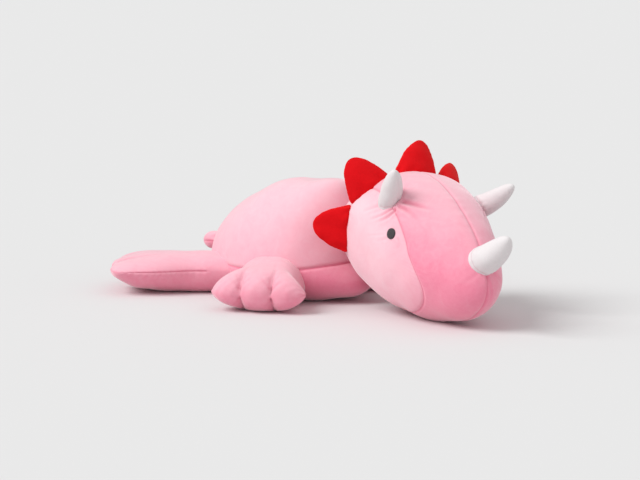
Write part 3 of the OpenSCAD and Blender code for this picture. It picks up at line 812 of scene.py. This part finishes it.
def makeSpike(name):
    # two rounded triangles sewn at their edges: across by cos, through as a power of sin, both
    # narrowing to the tip
    turn, size, lean, pull = frill["spikes"][name]
    around = np.radians(np.arange(0, 360, 3))[None, :]
    rows = [[-0.36, -0.36], np.linspace(-0.3, 0, 6), 1 - (1 - np.linspace(0.02, 1, 46)) ** 1.35]
    s = np.concatenate(rows)[:, None]
    t = np.clip(s, 0, 1)
    narrow = frill["straight"] * (1 - t) + (1 - frill["straight"]) * np.sqrt(1 - t ** 2)
    narrow = narrow + np.where(s < 0, s * 0.5, 0)
    narrow[0] = 0
    bulge = frill["thick"] / 2 * np.maximum(0, 1 - t ** 2) ** 0.8
    bulge[0] = 0
    through = bulge * np.sign(np.sin(around)) * np.abs(np.sin(around)) ** 1.4
    shift = (size * frill["wide"] / 2 * np.cos(around) * narrow + pull * size * t) / head["skull"]
    base = frillPlace(turn + np.degrees(shift))
    middle = frillPlace(turn)
    swept = skull - headPose @ np.array([head["sweep"] * (1 - math.cos(math.radians(turn))), 0, 0])
    out = unit(middle - swept)
    cross = unit(np.cross(frillPlace(turn + 3) - frillPlace(turn - 3), out))
    a = math.radians(lean)
    high = frill["high"] * size * s
    grid = (base + out * (high * math.cos(a) + frill["off"])[..., None]
            + cross * (through - np.maximum(high, 0) * math.sin(a))[..., None])
    normal = outward(grid)
    edge = np.exp(-((np.abs(np.sin(around)) / 0.14) ** 2)) * np.ones_like(s)
    tipRound = np.clip((1 - s) * 8, 0, 1)
    push = -0.0005 * edge * tipRound
    lumps = waves(grid, 0.028, 12, int(abs(turn)) + 31)
    run = (s * frill["high"]) * np.ones_like(around)
    pucker = puckers(run, 0.0075, 2, 190, turn)
    push = push + 0.00045 * lumps + 0.00035 * pucker * np.exp(-np.abs(np.sin(around)) / 0.35) * (1 - edge)
    rootPleat = np.cos(around * 9 + 1.5 * np.sin(around * 2)) * np.exp(-((s - 0.03) / 0.16) ** 2)
    push = push + 0.0008 * rootPleat
    grid = grid + normal * push[..., None]
    # painted highlight along the edge seam, through the red seam tone, which is lighter than the pile
    paintedShading = 0.5 * np.exp(-((np.abs(np.sin(around)) / 0.09) ** 2)) * np.ones_like(s)
    sew(f"spike_{name}_cover", grid, "redPlush", "head",
        [f"spike_{name}_front", f"spike_{name}_rear", f"spike_{name}_batting"], paintedShading=paintedShading)


for spikeName in frill["spikes"]:
    makeSpike(spikeName)
print("frill sewn")


# Eyes

eyes = {"wide": 0.0152, "edge": 0.0007, "dome": 0.0011, "round": 45, "across": 54, "stitch": 0.00075}


def makeEye(name, side):
    # a domed disc of satin stitches: its edge stands up from the face, and its top is ribbed across
    e = eyes
    place = onHead(e["round"], side * e["across"])
    out = headOut(e["round"], side * e["across"])
    upward = unit(np.array([0, 0, 1.0]) - out * out[2])
    aside = np.cross(upward, out)
    around = np.radians(np.arange(0, 360, 2.5))[None, :]
    dome = np.radians(np.linspace(10, 90, 34))
    r = np.concatenate([[0, 0.5, 1, 1, 0.995], np.cos(dome)])[:, None] * e["wide"] / 2
    foot = [-0.002, -0.002, -0.002, 0, e["edge"]]
    high = np.concatenate([foot, e["edge"] + e["dome"] * np.sin(dome)])[:, None]
    x, y = r * np.cos(around), r * np.sin(around)
    rib = np.abs(np.sin(y * math.pi / e["stitch"])) * 0.00016 * (high > 0)
    nearRim = np.exp(-((r / (e["wide"] / 2) - 0.97) / 0.05) ** 2)
    rim = np.where(high > 0, 0.00018 * np.sin(around * 46) * nearRim, 0)
    grid = place + x[..., None] * aside + y[..., None] * upward + (high + rib + rim)[..., None] * out
    sew(name + "_stitches", grid, "eyeThread", "head", [name])


makeEye("right_eye", -1)
makeEye("left_eye", 1)
print("eyes stitched")


# Legs

leg = {
    "thick": 0.057, "rootWide": 0.100, "footWide": 0.140, "rootRound": 0.022, "toe": 0.013,
    "toeSetBack": 0.012, "cleftFrom": 0.66, "inside": 0.014, "slack": 0.0, "voxel": 0.0055, "cap": 0.004,
    "seamDeep": 0.0016, "seamWide": 0.0026,
}
frontLeg = {"long": 0.088, "lift": 0.012, "blunt": 5.5, "cleft": 0.5}
backLeg = {"long": 0.152, "lift": 0, "blunt": 4.2, "cleft": 0.3}
legs = {
    "front_right": {"place": (0.030, -0.101, 0.027), "aim": -60, "skew": 15, "seed": 41, **frontLeg},
    "front_left": {"place": (0.030, 0.101, 0.027), "aim": 60, "skew": -15, "seed": 42, **frontLeg},
    "back_right": {"place": (-0.1235, -0.0755, 0.036), "aim": -139, "skew": -23, "seed": 43, **backLeg},
    "back_left": {"place": (-0.1235, 0.0755, 0.036), "aim": 139, "skew": 23, "seed": 44, **backLeg},
}
# the creases from a pull stitch: sideways spread, depth in millimetres, and how far back they reach
toeCreases = ((0, 2.2, 0.56), (-0.13, 1.0, 0.74), (0.13, 1.0, 0.74), (-0.24, 0.8, 0.85), (0.24, 0.8, 0.85))


def toeOut(q):
    middle = np.where(np.abs(q) < 1 / 3, 0, np.sign(q) * 2 / 3)
    return np.sqrt(np.maximum(0, 1 - ((q - middle) * 3) ** 2))


def legSurface(which, s, q, face, inset):
    # two sides that meet along the outline: the length runs from the root's curve to the toes', the
    # width grows to the foot, and the thickness closes toward the edges, the toes and the clefts
    l, w = leg, which
    half = (l["rootWide"] + (l["footWide"] - l["rootWide"]) * smoothStep(0.1, 0.8, s)) / 2 - inset
    start = l["rootRound"] * np.abs(q) ** 2.2 + half * q * math.tan(math.radians(w["skew"]))
    finish = w["long"] - inset - l["toe"] * (1 - toeOut(q)) - l["toeSetBack"] * q ** 2
    edge = np.maximum(0, 1 - np.abs(q) ** 2.8) ** 0.56
    t = np.clip(s, 0, 1)
    end = np.maximum(0, 1 - t ** w["blunt"]) ** 0.54
    up = l["thick"] - w["place"][2] + w["lift"] * (1 - t) ** 1.5
    thick = np.where(face > 0, up, w["place"][2] + 0.001) - inset
    groove = 1 - w["cleft"] * smoothStep(l["cleftFrom"], 1, s) * (1 - toeOut(q)) ** 1.8
    buried = half * q * math.tan(math.radians(w["skew"])) - l["inside"] - 0.008 * q ** 2
    x = np.where(s < 0, start + (start - buried) * s, start + (finish - start) * s)
    return xyz(x, half * q, face * thick * edge * end * groove)


def inLeg(which, points):
    return np.array(which["place"]) + points @ turned("z", which["aim"]).T


def makeLeg(name):
    w, l = legs[name], leg
    count = 152
    around = np.radians(np.arange(count) * 360 / count)[None, :]
    q = np.cos(around)
    face = np.where(np.arange(count) <= count // 2, 1.0, -1.0)[None, :]
    rows = [[-1.0, -1.0], np.linspace(-0.8, -0.1, 7), 1 - (1 - np.linspace(0, 1, 92)) ** 1.25]
    s = np.concatenate(rows)[:, None]
    grid = legSurface(w, s, q * np.ones_like(s), face * np.ones_like(s), l["slack"])
    grid[0] = grid[1].mean(0)
    grid = onFloor(inLeg(w, grid))
    # distance from the edge seam, across the leg's sides and back from its toes
    sideRun = np.abs(np.sin(around)) * l["footWide"] * 0.36 * np.ones_like(s)
    toeRun = (1 - s) * w["long"] * np.ones_like(around)
    away = np.minimum(sideRun, toeRun)
    cleft = np.minimum(np.abs(q - 1 / 3), np.abs(q + 1 / 3)) * l["footWide"] / 2
    cleftRun = np.hypot(cleft, np.maximum(0, 0.72 - s) * w["long"])
    held = np.minimum(away, cleftRun * 1.5)
    held = np.where((s < 0.1) | (grid[..., 2] < 0.002), 0, held)
    grid = onFloor(pumpUp("leg_" + name, grid, held, l["voxel"], l["cap"], 0.004, zipLast=True))
    normal = outward(grid)
    normal[-1] = inLeg(w, np.array([1.0, 0, 0])) - np.array(w["place"])
    grid = grid + normal * (waves(grid, 0.05, 12, w["seed"]) * 0.0006)[..., None]
    along = s * w["long"] + q * 0.05
    # the edge seam is drawn in along the sides and hardly shows round the toes
    groove = np.exp(-((away / l["seamWide"]) ** 2)) * (s > 0) * (1 - 0.7 * smoothStep(0.8, 0.95, s))
    pucker = puckers(along, 0.0105, 1.9, 61, w["seed"])
    push = -l["seamDeep"] * groove + 0.0004 * pucker * np.exp(-away / 0.010) * (1 - groove) * (s > 0)
    grid = grid + normal * push[..., None]
    # painted shade along the edge seam's groove, fading round the toes
    paintedShading = 0.5 * np.exp(-((away / 0.0015) ** 2)) * (s > 0) * (1 - 0.7 * smoothStep(0.8, 0.95, s))
    # creases that run back from each pull stitch
    for cleftAt in (-1 / 3, 1 / 3):
        for side in (1, -1):
            for spread, deep, far in toeCreases:
                t = np.linspace(0, 1, 16)
                ss = 1.0 - 0.01 - (1 - far) * t
                qq = cleftAt + spread * t
                path = inLeg(w, legSurface(w, ss, qq, np.full(16, float(side)), l["slack"]))
                grid, dark = pressFold(grid, normal, path, 0.0024, deep / 1000)
                # painted shade in each crease
                paintedShading = np.maximum(paintedShading, 0.35 * dark)
    aim = math.radians(w["aim"])
    way = np.array([math.cos(aim), math.sin(aim), 0])
    place = np.array(w["place"])
    start, end = tuple(place - way * 0.008), tuple(place + way * 0.034)
    bend = {"from": "torso", "to": "leg_" + name, "start": start, "end": end}
    sew(f"leg_{name}_cover", onFloor(grid), "pinkPlush", bend,
        [f"leg_{name}_upper", f"leg_{name}_sole", f"leg_{name}_stuffing"],
        zipLast=True, paintedShading=paintedShading, paintedLightLevel=paintedLightByPanel["leg"])
    makeToeStitches(name, w)


stitch = {"thick": 0.0008, "long": 0.0052, "out": 0.0014}


def tube(path, radius):
    # a round profile carried along a path, closed at both ends
    way = unit(np.gradient(path, axis=0))
    aside = unit(np.cross(way, np.array([0.31, 0.54, 0.78])))
    other = np.cross(way, aside)
    around = np.radians(np.arange(0, 360, 30))[None, :, None]
    r = radius * np.ones(len(path))
    r[0] = r[-1] = 0
    ring = np.cos(around) * aside[:, None, :] + np.sin(around) * other[:, None, :]
    return path[:, None, :] + r[:, None, None] * ring


def makeToeStitches(name, w):
    parts = []
    for k, q in enumerate((-1 / 3, 1 / 3)):
        tipPoint = legSurface(w, np.array(1.0), np.array(q), np.array(1.0), 0)
        t = np.linspace(-1, 1, 25)
        drop = xyz(tipPoint[0] + stitch["out"] - 0.0035 * t ** 2, tipPoint[1], stitch["long"] * t)
        path = np.concatenate([drop[:1], drop, drop[-1:]])
        path[0, 0] -= 0.0001
        path[-1, 0] -= 0.0001
        strand = inLeg(w, tube(path, stitch["thick"]))
        parts.append(meshFromGrid(f"stitch{name}{k}", strand, paintedShading=np.zeros(strand.shape[:2])))
    mesh = joinMeshes(f"leg_{name}_toe_thread", parts)
    mesh.materials.append(materials["pinkThread"])
    piece = bpy.data.objects.new(f"leg_{name}_toe_thread", mesh)
    bpy.context.scene.collection.objects.link(piece)
    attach(piece, "leg_" + name)
    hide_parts(f"leg_{name}_toe_stitches")


def joinMeshes(name, parts):
    points, faces, base = [], [], 0
    for mesh in parts:
        co = np.zeros(len(mesh.vertices) * 3)
        mesh.vertices.foreach_get("co", co)
        points.append(co.reshape(-1, 3))
        faces += [[v + base for v in polygon.vertices] for polygon in mesh.polygons]
        base += len(mesh.vertices)
    joined = bpy.data.meshes.new(name)
    joined.from_pydata(np.concatenate(points).tolist(), [], faces)
    joined.polygons.foreach_set("use_smooth", np.ones(len(faces), bool))
    return joined


for legName in legs:
    makeLeg(legName)
print("legs sewn")


# Tail

tail = {"place": (-0.182, 0, 0.061), "drop": 4, "long": 0.040, "wide": 0.019, "waist": 0.3, "inside": 0.014}


def makeTail():
    # a stub: its radius grows from a narrow root and closes round the tip
    t = tail
    a = math.radians(t["drop"])
    way = np.array([-math.cos(a), 0, -math.sin(a)])
    side = np.array([0, 1.0, 0])
    up = np.cross(way, side)
    around = np.radians(np.arange(0, 360, 3.75))[None, :]
    climb = np.radians(np.linspace(0, 90, 60))[:, None]
    r = t["wide"] * np.cos(climb) ** 1.25 * (1 - t["waist"] * np.cos(climb) ** 6)
    high = t["long"] * np.sin(climb)
    root = r[0, 0] * np.array([[0.0], [0.9], [0.95], [1.0]])
    r = np.concatenate([root, r])
    high = np.concatenate([np.array([[-1.0], [-1], [-0.66], [-0.33]]) * t["inside"], high])
    grid = np.array(t["place"]) + way * high[..., None] + r[..., None] * (
        np.cos(around)[..., None] * side + np.sin(around)[..., None] * up)
    normal = outward(grid)
    gather = np.cos(around * 8 + 1.2 * np.sin(around)) * np.exp(-((high - 0.002) / 0.009) ** 2)
    seam = np.exp(-((np.abs(np.sin(around)) / 0.12) ** 2)) * np.clip((t["long"] - high) / 0.01, 0, 1)
    push = 0.0009 * gather - 0.001 * seam + waves(grid, 0.03, 10, 51) * 0.0005
    grid = grid + normal * push[..., None]
    place = np.array(t["place"])
    start, end = tuple(place - way * 0.002), tuple(place + way * 0.014)
    bend = {"from": "torso", "to": "tail", "start": start, "end": end}
    # painted shade along the seam groove
    sew("tail_cover_plush", grid, "pinkPlush", bend, ["tail_cover", "tail_stuffing"],
        paintedShading=0.6 * seam)


makeTail()
print("tail sewn")
